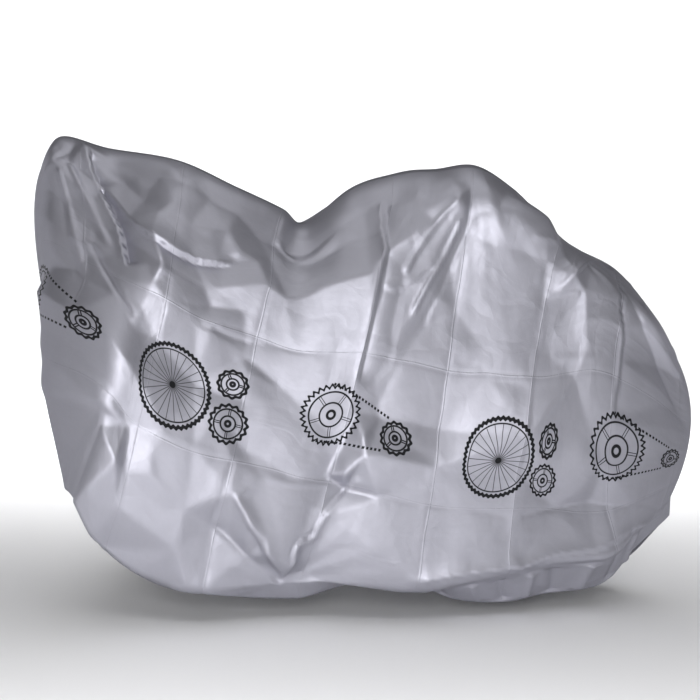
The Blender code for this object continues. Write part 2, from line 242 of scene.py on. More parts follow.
NEAR_FOLDS = [
    # The step of the pocket behind the front peak, the swag that hangs over it and the streaks before it.
    ("pleat", -20, (34, 20), 0.2, 20, 20,
     [(0.241, 0.042), (0.258, 0.115), (0.273, 0.182), (0.286, 0.231), (0.299, 0.274), (0.309, 0.329),
      (0.322, 0.393)]),
    ("pleat", 14, (40, 18), 0.2, 25, 60,
     [(0.251, 0.119), (0.287, 0.173), (0.323, 0.235), (0.377, 0.282), (0.438, 0.3), (0.516, 0.294),
      (0.581, 0.269), (0.622, 0.25)]),
    ("roof", 6, (9, 14), 0.3, 15, 60,
     [(0.192, 0.095), (0.218, 0.177), (0.239, 0.248), (0.261, 0.318), (0.282, 0.375)]),
    ("roof", 5, (9, 12), 0.3, 15, 60,
     [(0.158, 0.145), (0.182, 0.278), (0.203, 0.405), (0.226, 0.528)]),
    ("roof", -6, (14, 8), 0.2, 15, 40,
     [(0.231, 0.366), (0.258, 0.432), (0.299, 0.491), (0.373, 0.533)]),
    # The pocket below the rear peak and the streaks that fall across it.
    ("pleat", -10, (22, 16), 0.2, 12, 50,
     [(0.925, 0.06), (0.939, 0.139), (0.954, 0.19), (0.953, 0.24), (0.951, 0.313), (0.949, 0.386),
      (0.95, 0.463), (0.95, 0.527)]),
    ("roof", 5, (8, 12), 0.4, 10, 20,
     [(1.155, 0.062), (1.096, 0.118), (1.068, 0.161), (1.037, 0.211), (1.02, 0.251)]),
    ("roof", 5, 7, 0.5, 8, 40,
     [(1.165, 0.11), (1.13, 0.2), (1.105, 0.248), (1.083, 0.3), (1.066, 0.348)]),
    ("roof", 5, 7, 0.4, 8, 40,
     [(1.184, 0.128), (1.151, 0.217), (1.135, 0.268), (1.106, 0.365)]),
    # The tuck at the rear and the upright edge behind it.
    ("pleat", 7, (14, 12), 0, 10, 12,
     [(1.504, 0.16), (1.534, 0.143), (1.592, 0.09), (1.642, 0.064), (1.695, 0.015)]),
    ("pleat", -8, (20, 9), 0.2, 12, 40,
     [(1.692, 0.049), (1.717, 0.238), (1.732, 0.301), (1.737, 0.363), (1.732, 0.493), (1.729, 0.543)]),
    # The gather at the hem.
    ("pleat", 7, (18, 10), 0.2, 12, 8,
     [(0.715, 0.834), (0.759, 0.886), (0.805, 0.938), (0.848, 0.98), (0.895, 1.023)]),
    ("pleat", -6, (14, 9), 0.2, 12, 8,
     [(0.69, 0.92), (0.739, 0.949), (0.788, 0.98), (0.844, 1.014), (0.894, 1.043)]),
    ("pleat", 8, (20, 12), 0.2, 25, 10,
     [(1.005, 0.732), (0.995, 0.777), (0.97, 0.814), (0.948, 0.855), (0.936, 0.904), (0.901, 0.921), (0.9, 0.983)]),
    # The lip over the turned-in hem.
    ("pleat", 7, (18, 8), 0, 40, 20,
     [(1.18, 0.965), (1.279, 0.942), (1.384, 0.924), (1.468, 0.915), (1.586, 0.879), (1.662, 0.862),
      (1.743, 0.847), (1.838, 0.865), (1.947, 0.951)]),
    # The front peak and the streaks that fall from it.
    ("crease", -4, 8, 0, 10, 10, [(0.13, 0.106), (0.163, 0.076), (0.191, 0.048), (0.217, 0.025)]),
    ("crease", -1.5, 7, 0, 15, 15, [(0.248, 0.307), (0.239, 0.366), (0.231, 0.421)]),
    ("crease", -0.5, 9, 0, 20, 20, [(0.227, 0.425), (0.262, 0.428), (0.304, 0.448)]),
    # The swag behind them: its lip, its roll and the facets above.
    ("pleat", 1.5, 45, 0.2, 25, 90,
     [(0.251, 0.119), (0.267, 0.133), (0.287, 0.173), (0.305, 0.205), (0.323, 0.235), (0.347, 0.26),
      (0.377, 0.282), (0.406, 0.294), (0.438, 0.3), (0.477, 0.302), (0.516, 0.294), (0.547, 0.278),
      (0.581, 0.269), (0.622, 0.25)]),
    # The long fold of the front, and the wrinkles above it.
    ("crease", -0.5, 7, 0, 10, 10, [(0.445, 0.3), (0.444, 0.341), (0.459, 0.361)]),
    ("crease", -2, 8, 0, 15, 15,
     [(0.399, 0.361), (0.444, 0.351), (0.479, 0.355), (0.517, 0.355), (0.551, 0.354)]),
    ("crease", -1, 8, 0, 15, 15, [(0.438, 0.36), (0.484, 0.351), (0.538, 0.355)]),
    ("roof", 1, (9, 5), 0, 12, 12, [(0.611, 0.203), (0.635, 0.165), (0.659, 0.132), (0.686, 0.103)]),
    ("crease", 2, 8, 0, 12, 12, [(0.523, 0.257), (0.559, 0.241), (0.595, 0.229), (0.631, 0.209)]),
    ("crease", -1.5, 8, 0, 12, 12,
     [(0.497, 0.425), (0.537, 0.415), (0.583, 0.395), (0.619, 0.39), (0.654, 0.38)]),
    ("crease", -1, 6, 0, 10, 10, [(0.608, 0.436), (0.651, 0.434), (0.694, 0.429)]),
    ("roof", 1, (6, 8), 0, 10, 10, [(0.603, 0.445), (0.653, 0.444), (0.703, 0.45)]),
    ("crease", -2.5, 6, 0, 10, 10, [(0.588, 0.453), (0.643, 0.459), (0.686, 0.464)]),
    ("crease", -2, 8, 0, 15, 15, [(0.549, 0.451), (0.612, 0.46), (0.668, 0.475)]),
    # The valley between the two peaks.
    ("crease", 4, 8, 0, 8, 8, [(0.713, 0.097), (0.733, 0.122), (0.762, 0.145)]),
    ("pleat", -0.5, 20, 0, 12, 25,
     [(0.765, 0.159), (0.812, 0.157), (0.838, 0.158), (0.871, 0.155), (0.9, 0.155)]),
    ("crease", -0.5, 7, 0, 12, 20,
     [(0.699, 0.459), (0.738, 0.444), (0.794, 0.442), (0.86, 0.451), (0.917, 0.458), (0.954, 0.463)]),
    # The pocket below the rear peak: its edge, its lip and the line above it.
    ("pleat", -1, 20, 0, 15, 15,
     [(0.843, 0.094), (0.872, 0.087), (0.899, 0.069), (0.929, 0.059), (0.965, 0.055), (1.027, 0.051),
      (1.09, 0.044), (1.134, 0.038), (1.181, 0.037)]),
    ("pleat", -0.5, 26, 0.3, 12, 60,
     [(0.925, 0.06), (0.932, 0.1), (0.935, 0.138), (0.95, 0.17), (0.955, 0.195), (0.949, 0.219),
      (0.95, 0.252), (0.951, 0.288), (0.949, 0.325), (0.949, 0.362), (0.949, 0.41), (0.95, 0.463),
      (0.95, 0.527)]),
    ("pleat", 3, 12, 0, 15, 8, [(0.863, 0.163), (0.899, 0.164), (0.939, 0.159)]),
    ("ridge", 2, 9, 0, 8, 8, [(0.94, 0.139), (0.954, 0.174), (0.956, 0.205)]),
    ("roof", -1, (7, 9), 0, 12, 15, [(1.035, 0.088), (1.008, 0.111), (0.984, 0.142), (0.963, 0.186)]),
    ("roof", 2, (6, 7), 0.5, 8, 40,
     [(1.165, 0.11), (1.146, 0.156), (1.13, 0.2), (1.105, 0.248), (1.083, 0.3), (1.066, 0.348)]),
    ("roof", -7, 7, 0.4, 8, 40,
     [(1.184, 0.128), (1.166, 0.177), (1.151, 0.217), (1.135, 0.268), (1.116, 0.322), (1.106, 0.365)]),
    ("crease", 2, 8, 0, 8, 8, [(1.189, 0.076), (1.154, 0.089), (1.129, 0.109)]),
    ("pleat", 2.5, 18, 0, 10, 10,
     [(0.956, 0.281), (0.993, 0.287), (1.03, 0.278), (1.058, 0.256), (1.084, 0.234), (1.114, 0.215)]),
    # The long diagonal from the rear peak to the hem: its bright ridge and the groove beside it.
    ("crease", -1, 7, 0, 15, 15, [(0.947, 0.685), (0.94, 0.743), (0.936, 0.786), (0.921, 0.836)]),
    ("pleat", 0.5, (46, 30), 0.2, 40, 30,
     [(1.036, 0.586), (1.018, 0.643), (1.004, 0.695), (1.005, 0.732), (0.995, 0.777), (0.97, 0.814),
      (0.948, 0.855), (0.936, 0.904), (0.901, 0.921), (0.9, 0.983)]),
    ("crease", -0.5, 6, 0, 10, 10, [(0.93, 0.903), (0.945, 0.948), (0.951, 0.996)]),
    # Facets and folds that gather at the hem before it.
    ("crease", 1.5, 7, 0, 15, 10, [(0.727, 0.925), (0.77, 0.955), (0.815, 0.988), (0.869, 1.024)]),
    ("roof", -2, 9, 0, 10, 10, [(0.7, 0.76), (0.695, 0.81), (0.69, 0.858), (0.685, 0.909)]),
    ("crease", -1, 7, 0, 8, 8, [(0.685, 0.909), (0.688, 0.96), (0.695, 1.015), (0.701, 1.048)]),
    ("roof", 1.5, 8, 0, 15, 15, [(0.776, 0.789), (0.824, 0.786), (0.889, 0.779), (0.953, 0.775)]),
    ("crease", 1, 6, 0, 10, 10,
     [(0.496, 0.76), (0.552, 0.75), (0.603, 0.75), (0.668, 0.755), (0.702, 0.756)]),
    # The lower front: the turn round to the front seam and the creases on it.
    ("crease", 1, 6, 0, 10, 10, [(0.47, 0.447), (0.466, 0.495), (0.46, 0.543)]),
    ("roof", 2, (7, 8), 0, 10, 10, [(0.451, 0.874), (0.456, 0.921), (0.458, 0.978), (0.461, 1.046)]),
    ("crease", 1, 6, 0, 12, 12,
     [(0.462, 0.685), (0.456, 0.754), (0.455, 0.784), (0.454, 0.84), (0.456, 0.874)]),
    # Behind the rear peak: the upright creases, the tuck and the crinkles between them.
    ("crease", -2, 6, 0, 8, 8, [(1.186, 0.115), (1.21, 0.093), (1.255, 0.082)]),
    ("crease", -0.5, 5, 0, 8, 8, [(1.205, 0.035), (1.265, 0.019), (1.306, 0.004)]),
    ("crease", 3, 6, 0, 8, 8, [(1.352, 0.103), (1.38, 0.09), (1.417, 0.078)]),
    ("crease", 2, 6, 0, 8, 8, [(1.416, 0.234), (1.47, 0.222), (1.559, 0.221)]),
    ("crease", -1, (8, 6), 0, 12, 20,
     [(1.401, 0.139), (1.408, 0.205), (1.413, 0.275), (1.417, 0.325), (1.421, 0.376), (1.425, 0.425),
      (1.429, 0.472), (1.433, 0.523), (1.434, 0.586), (1.435, 0.66), (1.439, 0.744), (1.441, 0.8),
      (1.443, 0.87), (1.444, 0.919)]),
    ("pleat", -0.5, 14, 0, 10, 12,
     [(1.504, 0.16), (1.534, 0.143), (1.563, 0.115), (1.592, 0.09), (1.642, 0.064), (1.695, 0.015)]),
    ("crease", 1, 5, 0, 8, 8, [(1.473, 0.394), (1.542, 0.4), (1.625, 0.407), (1.675, 0.403)]),
    ("crease", 1, 5, 0, 8, 8, [(1.485, 0.405), (1.585, 0.413), (1.67, 0.417)]),
    ("crease", 0.5, 5, 0, 8, 8, [(1.304, 0.449), (1.364, 0.448), (1.42, 0.448)]),
    ("crease", -1, 5, 0, 8, 8, [(1.201, 0.414), (1.258, 0.423), (1.296, 0.431)]),
    ("crease", 0.5, (8, 6), 0, 12, 10,
     [(1.729, 0.543), (1.718, 0.577), (1.705, 0.613), (1.69, 0.667), (1.675, 0.738), (1.669, 0.809),
      (1.662, 0.862)]),
    # The crease of the rear row, the lip over the turned-in hem and the folds below it.
    ("crease", -1.5, 6, 0, 10, 10,
     [(0.97, 0.786), (1.026, 0.779), (1.075, 0.774), (1.12, 0.772), (1.173, 0.77)]),
    ("roof", -1, 8, 0, 8, 8,
     [(1.181, 0.764), (1.229, 0.764), (1.309, 0.769), (1.364, 0.779), (1.41, 0.788)]),
    ("crease", -2.5, 6, 0, 8, 8,
     [(1.445, 0.785), (1.518, 0.772), (1.58, 0.757), (1.633, 0.74), (1.676, 0.726)]),
    ("roof", -0.5, 8, 0, 8, 15, [(1.685, 0.738), (1.749, 0.754), (1.844, 0.79), (1.988, 0.925)]),
    # The rolled lip of the hem at the rear.
    ("crease", 8, 14, 0, 60, 60,
     [(1.15, 0.975), (1.30, 0.945), (1.45, 0.915), (1.60, 0.89), (1.75, 0.87), (1.93, 0.865)]),
]

# The folds tucked in below the lip. Each runs from its top to the hem's edge, at edge_along.
TUCK_COLUMNS = ("rise", "width", "top_along", "top_down", "edge_along")
TUCK_END = 1.09
NEAR_TUCKS = [
    (-6, 12, 1.24, 0.99, 1.27),
    (8, 14, 1.33, 0.97, 1.36),
    (-9, 14, 1.40, 0.96, 1.43),
    (9, 14, 1.50, 0.94, 1.50),
    (-9, 14, 1.57, 0.93, 1.58),
    (10, 15, 1.66, 0.91, 1.64),
    (-8, 14, 1.74, 0.91, 1.72),
    (8, 14, 1.83, 0.90, 1.79),
]
FAR_TUCKS = [
    (-8, 14, 1.30, 0.99, 1.32),
    (8, 14, 1.39, 0.97, 1.42),
    (-9, 14, 1.49, 0.96, 1.50),
    (9, 14, 1.58, 0.94, 1.57),
    (-9, 14, 1.67, 0.93, 1.65),
    (8, 14, 1.77, 0.92, 1.74),
]

# The far panel takes the near panel's net this far on, and this share of its rises.
FAR_SHIFT = 0.06
FAR_SHARE = -1.15
FAR_SEED = 50
FAR_CREASES = [
    [(min(along + FAR_SHIFT, PANEL_LENGTH - 0.01), down, FAR_SHARE * rise) for along, down, rise in crease]
    for crease in NEAR_CREASES
]
FAR_FOLDS = [
    ("crease", 10, 24, 0.6, 20, 150, [(0.12, 0.04), (0.13, 0.16), (0.17, 0.34), (0.22, 0.56)]),
    ("crease", 9, 20, 0.4, 20, 80, [(0.17, 0.02), (0.21, 0.16), (0.27, 0.34)]),
    ("ridge", -9, 26, 0.5, 30, 80, [(0.15, 0.06), (0.19, 0.24), (0.24, 0.42)]),
    ("pleat", 18, 50, 0.2, 40, 90,
     [(0.24, 0.10), (0.30, 0.20), (0.38, 0.30), (0.46, 0.36), (0.56, 0.37), (0.66, 0.33)]),
    ("ridge", -22, 40, 0.2, 60, 60, [(0.25, 0.22), (0.32, 0.36), (0.42, 0.45)]),
    ("ridge", 12, 34, 0.0, 50, 60, [(0.32, 0.14), (0.42, 0.24), (0.52, 0.29)]),
    ("crease", 12, 26, 0.2, 20, 120, [(0.34, 0.48), (0.48, 0.53), (0.64, 0.50), (0.82, 0.49)]),
    ("crease", 16, 36, 0.3, 60, 10, [(0.27, 0.52), (0.33, 0.72), (0.40, 0.88), (0.45, 1.03)]),
    ("ridge", -16, 36, 0.6, 60, 60, [(0.60, 0.30), (0.64, 0.60), (0.62, 0.98)]),
    ("crease", 8, 22, 0.3, 40, 80, [(0.72, 0.52), (0.74, 0.74), (0.72, 0.98)]),
    ("crease", 7, 16, 0.0, 15, 30, [(0.76, 0.20), (0.82, 0.17), (0.92, 0.16)]),
    ("ridge", -12, 24, 0.0, 30, 30, [(0.74, 0.10), (0.80, 0.16), (0.88, 0.22)]),
    ("crease", 8, 14, 0.6, 20, 50, [(1.12, 0.06), (1.05, 0.14), (0.99, 0.26), (0.95, 0.34)]),
    ("crease", 8, 13, 0.6, 20, 50, [(1.15, 0.08), (1.08, 0.20), (1.02, 0.32)]),
    ("crease", 7, 13, 0.4, 20, 50, [(1.24, 0.08), (1.28, 0.18), (1.34, 0.30)]),
    ("crease", 15, 32, 0.6, 20, 200, [(1.12, 0.14), (1.06, 0.30), (1.02, 0.44), (0.96, 0.60), (0.90, 0.78)]),
    ("ridge", -20, 34, 0.6, 40, 120, [(1.20, 0.16), (1.15, 0.34), (1.11, 0.52), (1.06, 0.74), (1.02, 0.96)]),
    ("pleat", 10, 34, 0.3, 40, 60, [(1.16, 0.50), (1.13, 0.66), (1.09, 0.82), (1.05, 0.98)]),
    ("crease", 9, 22, 0.4, 30, 80, [(1.34, 0.04), (1.40, 0.10), (1.44, 0.20), (1.46, 0.36)]),
    ("ridge", -16, 28, 0.3, 30, 60, [(1.42, 0.08), (1.48, 0.20), (1.50, 0.42)]),
    ("pleat", 8, 22, 0.0, 15, 30, [(1.50, 0.10), (1.57, 0.08), (1.65, 0.10)]),
    ("crease", 12, 30, 0.3, 30, 200, [(1.68, 0.12), (1.71, 0.30), (1.72, 0.52), (1.70, 0.84)]),
    ("crease", 8, 22, 0.0, 40, 40, [(1.88, 0.42), (1.90, 0.58), (1.86, 0.76)]),
    ("crease", 9, 20, -0.4, 50, 10, [(0.90, 0.82), (0.96, 0.92), (1.04, 1.03)]),
    ("crease", 8, 18, -0.4, 50, 10, [(0.84, 0.88), (0.94, 0.98), (1.02, 1.05)]),
    ("crease", 8, 14, 0, 60, 60,
     [(1.15, 0.975), (1.30, 0.96), (1.45, 0.94), (1.60, 0.915), (1.75, 0.89), (1.93, 0.875)]),
]

# The creases of the folded pack: where they cross the sheet, and how they stand.
PACK_COLUMNS = (0.22, 0.46, 0.70, 0.945, 1.185, 1.42, 1.72, 1.95)
PACK_ROWS = (0.442, 0.765)
PACK_CREASE = 0.0012
PACK_WIDTH = 0.007
PACK_STRENGTH, PACK_UNEVEN, PACK_WANDER = 0.8, 0.5, 0.5
CREASE_LINE = 0.0024

# The film's own crumpling: facets between lines half as far apart as the pack's, then middle and small ones, with
# their heights in metres.
HALF_COLUMNS = np.linspace(-0.05, 2.20, 19)
HALF_ROWS = np.array([-0.001, 0.11, 0.22, 0.33, 0.44, 0.55, 0.66, 0.775, 0.89, 1.00, 1.12])
LARGE_FACET = 0.0010
MIDDLE_FACET = 0.0007
SMALL_FACET = 0.0002
LATTICE = 96
MIDDLE_STEPS = (0.065, 0.095)
SMALL_STEPS = (0.027, 0.036)
LATTICE_WANDER = 0.030
WANDER_LENGTH = 0.26
WAVES = 8


# Pleats that radiate from a point, with their rise in mm, and how far they sway from even widths.
FAN_SWAY = 0.9
FAN_COLUMNS = ("centre_along", "centre_down", "pleats", "rise", "reach", "seed")
NEAR_FANS = [
    (0.20, -0.02, 13, 0.8, 0.42, 21),
    (1.18, -0.01, 15, 0.8, 0.40, 22),
    (0.89, 1.05, 13, 1.0, 0.34, 23),
    (1.52, 0.06, 11, 0.8, 0.30, 24),
]
FAR_FANS = [
    (0.18, -0.02, 13, 5, 0.42, 31),
    (1.18, -0.01, 15, 5, 0.42, 32),
    (1.03, 1.06, 13, 5, 0.36, 33),
    (1.50, 0.04, 11, 4, 0.30, 34),
]

# The camera looks at the middle of the cover. The frame's origin is at the mount under the top.
CAMERA = {"azimuth": -3.0, "elevation": 9.0, "roll": 2.0, "distance": 3.4, "scale": 440.0}
TARGET = (-0.270, 0.0, -0.4244)
PHOTO_WIDTH = 700
SENSOR = 36.0

# The lights: where each one stands and looks, its two sides in metres, its power as a share of the key's, and the
# angle that it spreads over.
LIGHT_COLUMNS = ("name", "place", "target", "size", "share", "spread")
LIGHTS = [
    ("key", (-1.0, -4.4, 0.6), (-0.2, 0.0, -0.45), (2.0, 2.4), 1.0, math.pi),
    ("top light", (-0.2, -0.3, 2.3), (-0.2, 0.0, 0.0), (3.4, 2.0), 0.18, math.pi),
    ("floor wash front", (-0.2, -1.7, 0.8), (-0.2, -1.7, -REST_HEIGHT), (3.6, 1.2), 0.26, 1.5),
    ("floor wash rear", (-0.2, 1.7, 0.8), (-0.2, 1.7, -REST_HEIGHT), (3.6, 1.2), 0.26, 1.5),
    ("wall wash", (-0.2, 2.4, 2.6), (-0.2, 5.4, 0.0), (6.0, 1.2), 2.2, math.pi),
]
# The floor's profile: its height at each radius, up to the top of the wall.
FLOOR_COLUMNS = ("radius", "height")
FLOOR_PROFILE = [(0.01, 0.0), (4.3, 0.0), (4.8, 0.08), (5.2, 0.3), (5.5, 0.7), (5.6, 1.3), (5.6, 2.3)]
FLOOR_SIDES = 72


def through(knots, values, at):
    """A smooth curve through the values at the knots, read at each place in the array. Each span is a cubic whose
    slopes at the knots are the mean of the neighbouring spans' slopes, the nearer one weighing more."""
    steps = np.diff(knots)
    slopes = np.diff(values) / steps
    inner = (slopes[:-1] * steps[1:] + slopes[1:] * steps[:-1]) / (steps[1:] + steps[:-1])
    tangents = np.concatenate([slopes[:1], inner, slopes[-1:]])
    span = np.clip(np.searchsorted(knots, at, side="right") - 1, 0, len(steps) - 1)
    share = (at - knots[span]) / steps[span]
    rise = values[span + 1] - values[span]
    first = tangents[span] * steps[span]
    last = tangents[span + 1] * steps[span]
    bend = 3 * rise - 2 * first - last + share * (first + last - 2 * rise)
    return values[span] + share * (first + share * bend)


def columns(table, names, at):
    """Each column of a station table, read at each place along the panel."""
    rows = np.array(table)
    return {name: through(rows[:, 0], rows[:, n], at) for n, name in enumerate(names) if n}


def parabola(start, middle, end, share, middle_share):
    """The parabola through three points, the middle one at its own share of the way."""
    from_start = (share - middle_share) * (share - 1) / middle_share
    from_middle = share * (share - 1) / (middle_share * (middle_share - 1))
    from_end = share * (share - middle_share) / (1 - middle_share)
    return start * from_start + middle * from_middle + end * from_end


def course(along, down, stations):
    """Points of a panel before its folds: each upright line of the film runs on a parabola from the top seam over
    the belly to the lip, stands out by its shoulder near the top, and turns in from the lip to the hem."""
    seam = columns(TOP_SEAM, TOP_COLUMNS, along)
    side = columns(stations, SIDE_COLUMNS, along)
    lip_down = PANEL_DEPTH - side["turned_in"]
    belly = BELLY_DOWN / lip_down
    share = np.clip(down / lip_down, 0, 1)
    share = np.where(share < belly, belly * (share / belly) ** side["bunch"], share)
    x = parabola(seam["x"], side["belly_x"], side["lip_x"], share, belly)
    y = parabola(seam["y"], side["belly_y"], side["lip_y"], share, belly)
    z = parabola(seam["z"], side["belly_z"], side["lip_z"], share, belly)
    out = np.sign(stations[len(stations) // 2][2])
    y += out * side["shoulder"] * share / SHOULDER_DOWN * np.exp(1 - share / SHOULDER_DOWN)
    turned = np.clip((down - lip_down) / side["turned_in"], 0, 1)
    y += (side["hem_y"] - y) * turned
    z += (side["hem_z"] - z) * turned
    return np.stack([x, y, z - REST_HEIGHT], axis=-1)


def outward(points, along, down, out):
    """Unit normals of the grid of points, on the side that looks out of the cover: the cross product of the
    steps along and down the film."""
    across = np.gradient(points, along, axis=0)
    downward = np.gradient(points, down, axis=1)
    normals = out * np.cross(across, downward)
    return normals / np.linalg.norm(normals, axis=-1, keepdims=True)


def soft_step(value):
    """0 below 0, 1 above 1, and a smooth rise between them."""
    value = np.clip(value, 0, 1)
    return value * value * (3 - 2 * value)


def spine_of(path):
    """Points every SPINE_STEP on the smooth curve through a path, their distance from its start and the unit
    tangent at each."""
    knots = np.array(path, float)
    marks = np.concatenate([[0], np.cumsum(np.linalg.norm(np.diff(knots, axis=0), axis=1))])
    at = np.linspace(0, marks[-1], max(6, int(marks[-1] / SPINE_STEP)))
    spine = np.stack([through(marks, knots[:, axis], at) for axis in (0, 1)], axis=-1)
    tangents = np.gradient(spine, axis=0)
    return spine, at, tangents / np.linalg.norm(tangents, axis=1, keepdims=True)


def profile(kind, offset):
    """Height of a fold of unit rise at each offset from its spine, in half-widths. A ridge is a bell, a crease two
    hollow slopes that meet in an edge, and a roof two flat slopes. A pleat falls away slowly from a step on its
    high side, and stands below nothing at the foot of the step."""
    if kind == "ridge":
        return np.exp(-(offset**2))
    if kind == "roof":
        slope = ROOF_END - np.sqrt(offset**2 + ROOF_EDGE**2)
        return (slope + np.sqrt(slope**2 + CREASE_EDGE**2)) / 2
    if kind == "crease":
        return np.exp(CREASE_EDGE - np.sqrt(offset**2 + CREASE_EDGE**2))
    foot = -FOOT_DEPTH * np.exp(-FOOT_STEEPNESS * np.abs(offset))
    return np.where(offset > 0, np.exp(-np.abs(offset)), foot)


def add_fold(height, along, down, kind, rise, width, widen, fade_in, fade_out, path):
    """Adds one fold to the height of the sheet. Every point near the fold takes the nearest point of its spine, and
    the height there is the profile of their signed distance times the fades of the spine's two ends."""
    rise, fade_in, fade_out = (value / 1000 for value in (rise, fade_in, fade_out))
    rear, front = np.broadcast_to(width, 2) / 1000
    spine, at, tangents = spine_of(path)
    reach = FOLD_REACH * max(rear, front) * (1 + max(widen, 0))
    low, high = spine.min(axis=0) - reach, spine.max(axis=0) + reach
    near = (along > low[0]) & (along < high[0]) & (down > low[1]) & (down < high[1])
    gap_along = along[near][:, None] - spine[:, 0]
    gap_down = down[near][:, None] - spine[:, 1]
    nearest = (gap_along**2 + gap_down**2).argmin(axis=1)
    rows = np.arange(len(nearest))
    gap = np.stack([gap_along[rows, nearest], gap_down[rows, nearest]], axis=-1)
    tangent = tangents[nearest]
    side = gap[:, 0] * tangent[:, 1] - gap[:, 1] * tangent[:, 0]
    beyond = gap[:, 0] * tangent[:, 0] + gap[:, 1] * tangent[:, 1]
    here = at[nearest] + beyond
    spread = np.where(side > 0, rear, front) * (1 + widen * at[nearest] / at[-1])
    fade = soft_step(here / fade_in) * soft_step((at[-1] - here) / fade_out)
    if kind == "pleat":
        blend = soft_step(side / EDGE_SOFT / 2 + 0.5)
        high_side = profile(kind, np.maximum(side, 1e-9) / spread)
        low_side = profile(kind, np.minimum(side, 0) / spread)
        form = blend * high_side + (1 - blend) * low_side
    else:
        form = profile(kind, side / spread)
    height[near] += rise * fade * form


def facets(column, row, seed):
    """Flat facets that meet in sharp creases, from -1 to 1: seeded heights on the corners of a lattice, each field of
    which is split along one of its diagonals and filled with two planes."""
    rng = np.random.default_rng(seed)
    corner = rng.uniform(-1, 1, (LATTICE, LATTICE))
    turned = rng.random((LATTICE, LATTICE)) < 0.5
    i, j = np.floor(column).astype(int), np.floor(row).astype(int)
    x, y = column - i, row - j
    first, right, below, last = corner[i, j], corner[i + 1, j], corner[i, j + 1], corner[i + 1, j + 1]
    over_falling = first + (right - first) * x + (last - right) * y
    under_falling = first + (below - first) * y + (last - below) * x
    before_rising = first + (right - first) * x + (below - first) * y
    after_rising = last + (below - last) * (1 - x) + (right - last) * (1 - y)
    falling = np.where(x > y, over_falling, under_falling)
    rising = np.where(x + y < 1, before_rising, after_rising)
    return np.where(turned[i, j], rising, falling)


def drift(along, down, scale, seed):
    """A smooth wander between about -1 and 1: the sum of plane waves in seeded directions, over 3."""
    rng = np.random.default_rng(seed)
    total = np.zeros(along.shape)
    angles, phases = rng.random(WAVES) * math.tau, rng.random(WAVES) * math.tau
    for angle, phase, stretch in zip(angles, phases, 0.6 + rng.random(WAVES)):
        total += np.sin((along * math.cos(angle) + down * math.sin(angle)) * stretch * math.tau / scale + phase)
    return total / 3.0


def crumple(along, down, seed):
    """Height of the film's own crumpling: facets between the pack's creases, and two sizes of smaller ones on
    lattices that wander, the smallest only where a slow drift is high."""
    pack_along = np.interp(along, HALF_COLUMNS, np.arange(len(HALF_COLUMNS)) + 1)
    pack_down = np.interp(down, HALF_ROWS, np.arange(len(HALF_ROWS)) + 1)
    wander_along = along + LATTICE_WANDER * drift(along, down, WANDER_LENGTH, seed)
    wander_down = down + LATTICE_WANDER * drift(along, down, WANDER_LENGTH, seed + 1)
    where = np.clip(0.5 + 0.6 * drift(along, down, 0.6, seed + 4), 0.1, 1)
    large = facets(pack_along, pack_down, seed + 2)
    middle = facets(wander_along / MIDDLE_STEPS[0] + 2, wander_down / MIDDLE_STEPS[1] + 2, seed + 3)
    small = facets(wander_along / SMALL_STEPS[0] + 4, wander_down / SMALL_STEPS[1] + 4, seed + 5)
    return LARGE_FACET * large + MIDDLE_FACET * middle + SMALL_FACET * small * where


def fan(height, along, down, centre_along, centre_down, pleats, rise, reach, seed):
    """Adds pleats that radiate from a point: a triangle wave of the angle round it, uneven in width, whose height
    grows with the distance and dies out towards the reach."""
    x, y = along - centre_along, down - centre_down
    radius = np.hypot(x, y)
    angle = np.arctan2(y, x)
    turn = pleats * angle / math.pi + FAN_SWAY * drift(angle, radius * 0.6, 1.6, seed)
    wave = 2 * np.abs(np.mod(turn, 2) - 1) - 1
    height += rise / 1000 * wave * np.clip(3 * radius / reach, 0, 1) * soft_step((reach - radius) / (0.7 * reach))


def pack_creases(along, down, seed):
    """The folded pack's creases: a sharp edge on each line, up or down by turns, stronger here and weaker there."""
    rng = np.random.default_rng(seed)
    height = np.zeros(along.shape)
    for places, across in ((PACK_COLUMNS, along), (PACK_ROWS, down)):
        for place in places:
            uneven = drift(along, down, PACK_WANDER, seed + int(place * 1000))
            strength = PACK_STRENGTH + PACK_UNEVEN * uneven
            sign = 1 if rng.random() < 0.5 else -1
            height += sign * PACK_CREASE * strength * np.exp(-np.abs(across - place) / PACK_WIDTH)
    return height


def grid_lines(length, step, kept):
    """Grid lines about a step apart from 0 to the length, with one on each kept place."""
    ends = [0, *kept, length]
    spans = [(a, b, max(1, round((b - a) / step))) for a, b in zip(ends[:-1], ends[1:])]
    return np.concatenate([np.linspace(a, b, count, endpoint=False) for a, b, count in spans] + [[length]])


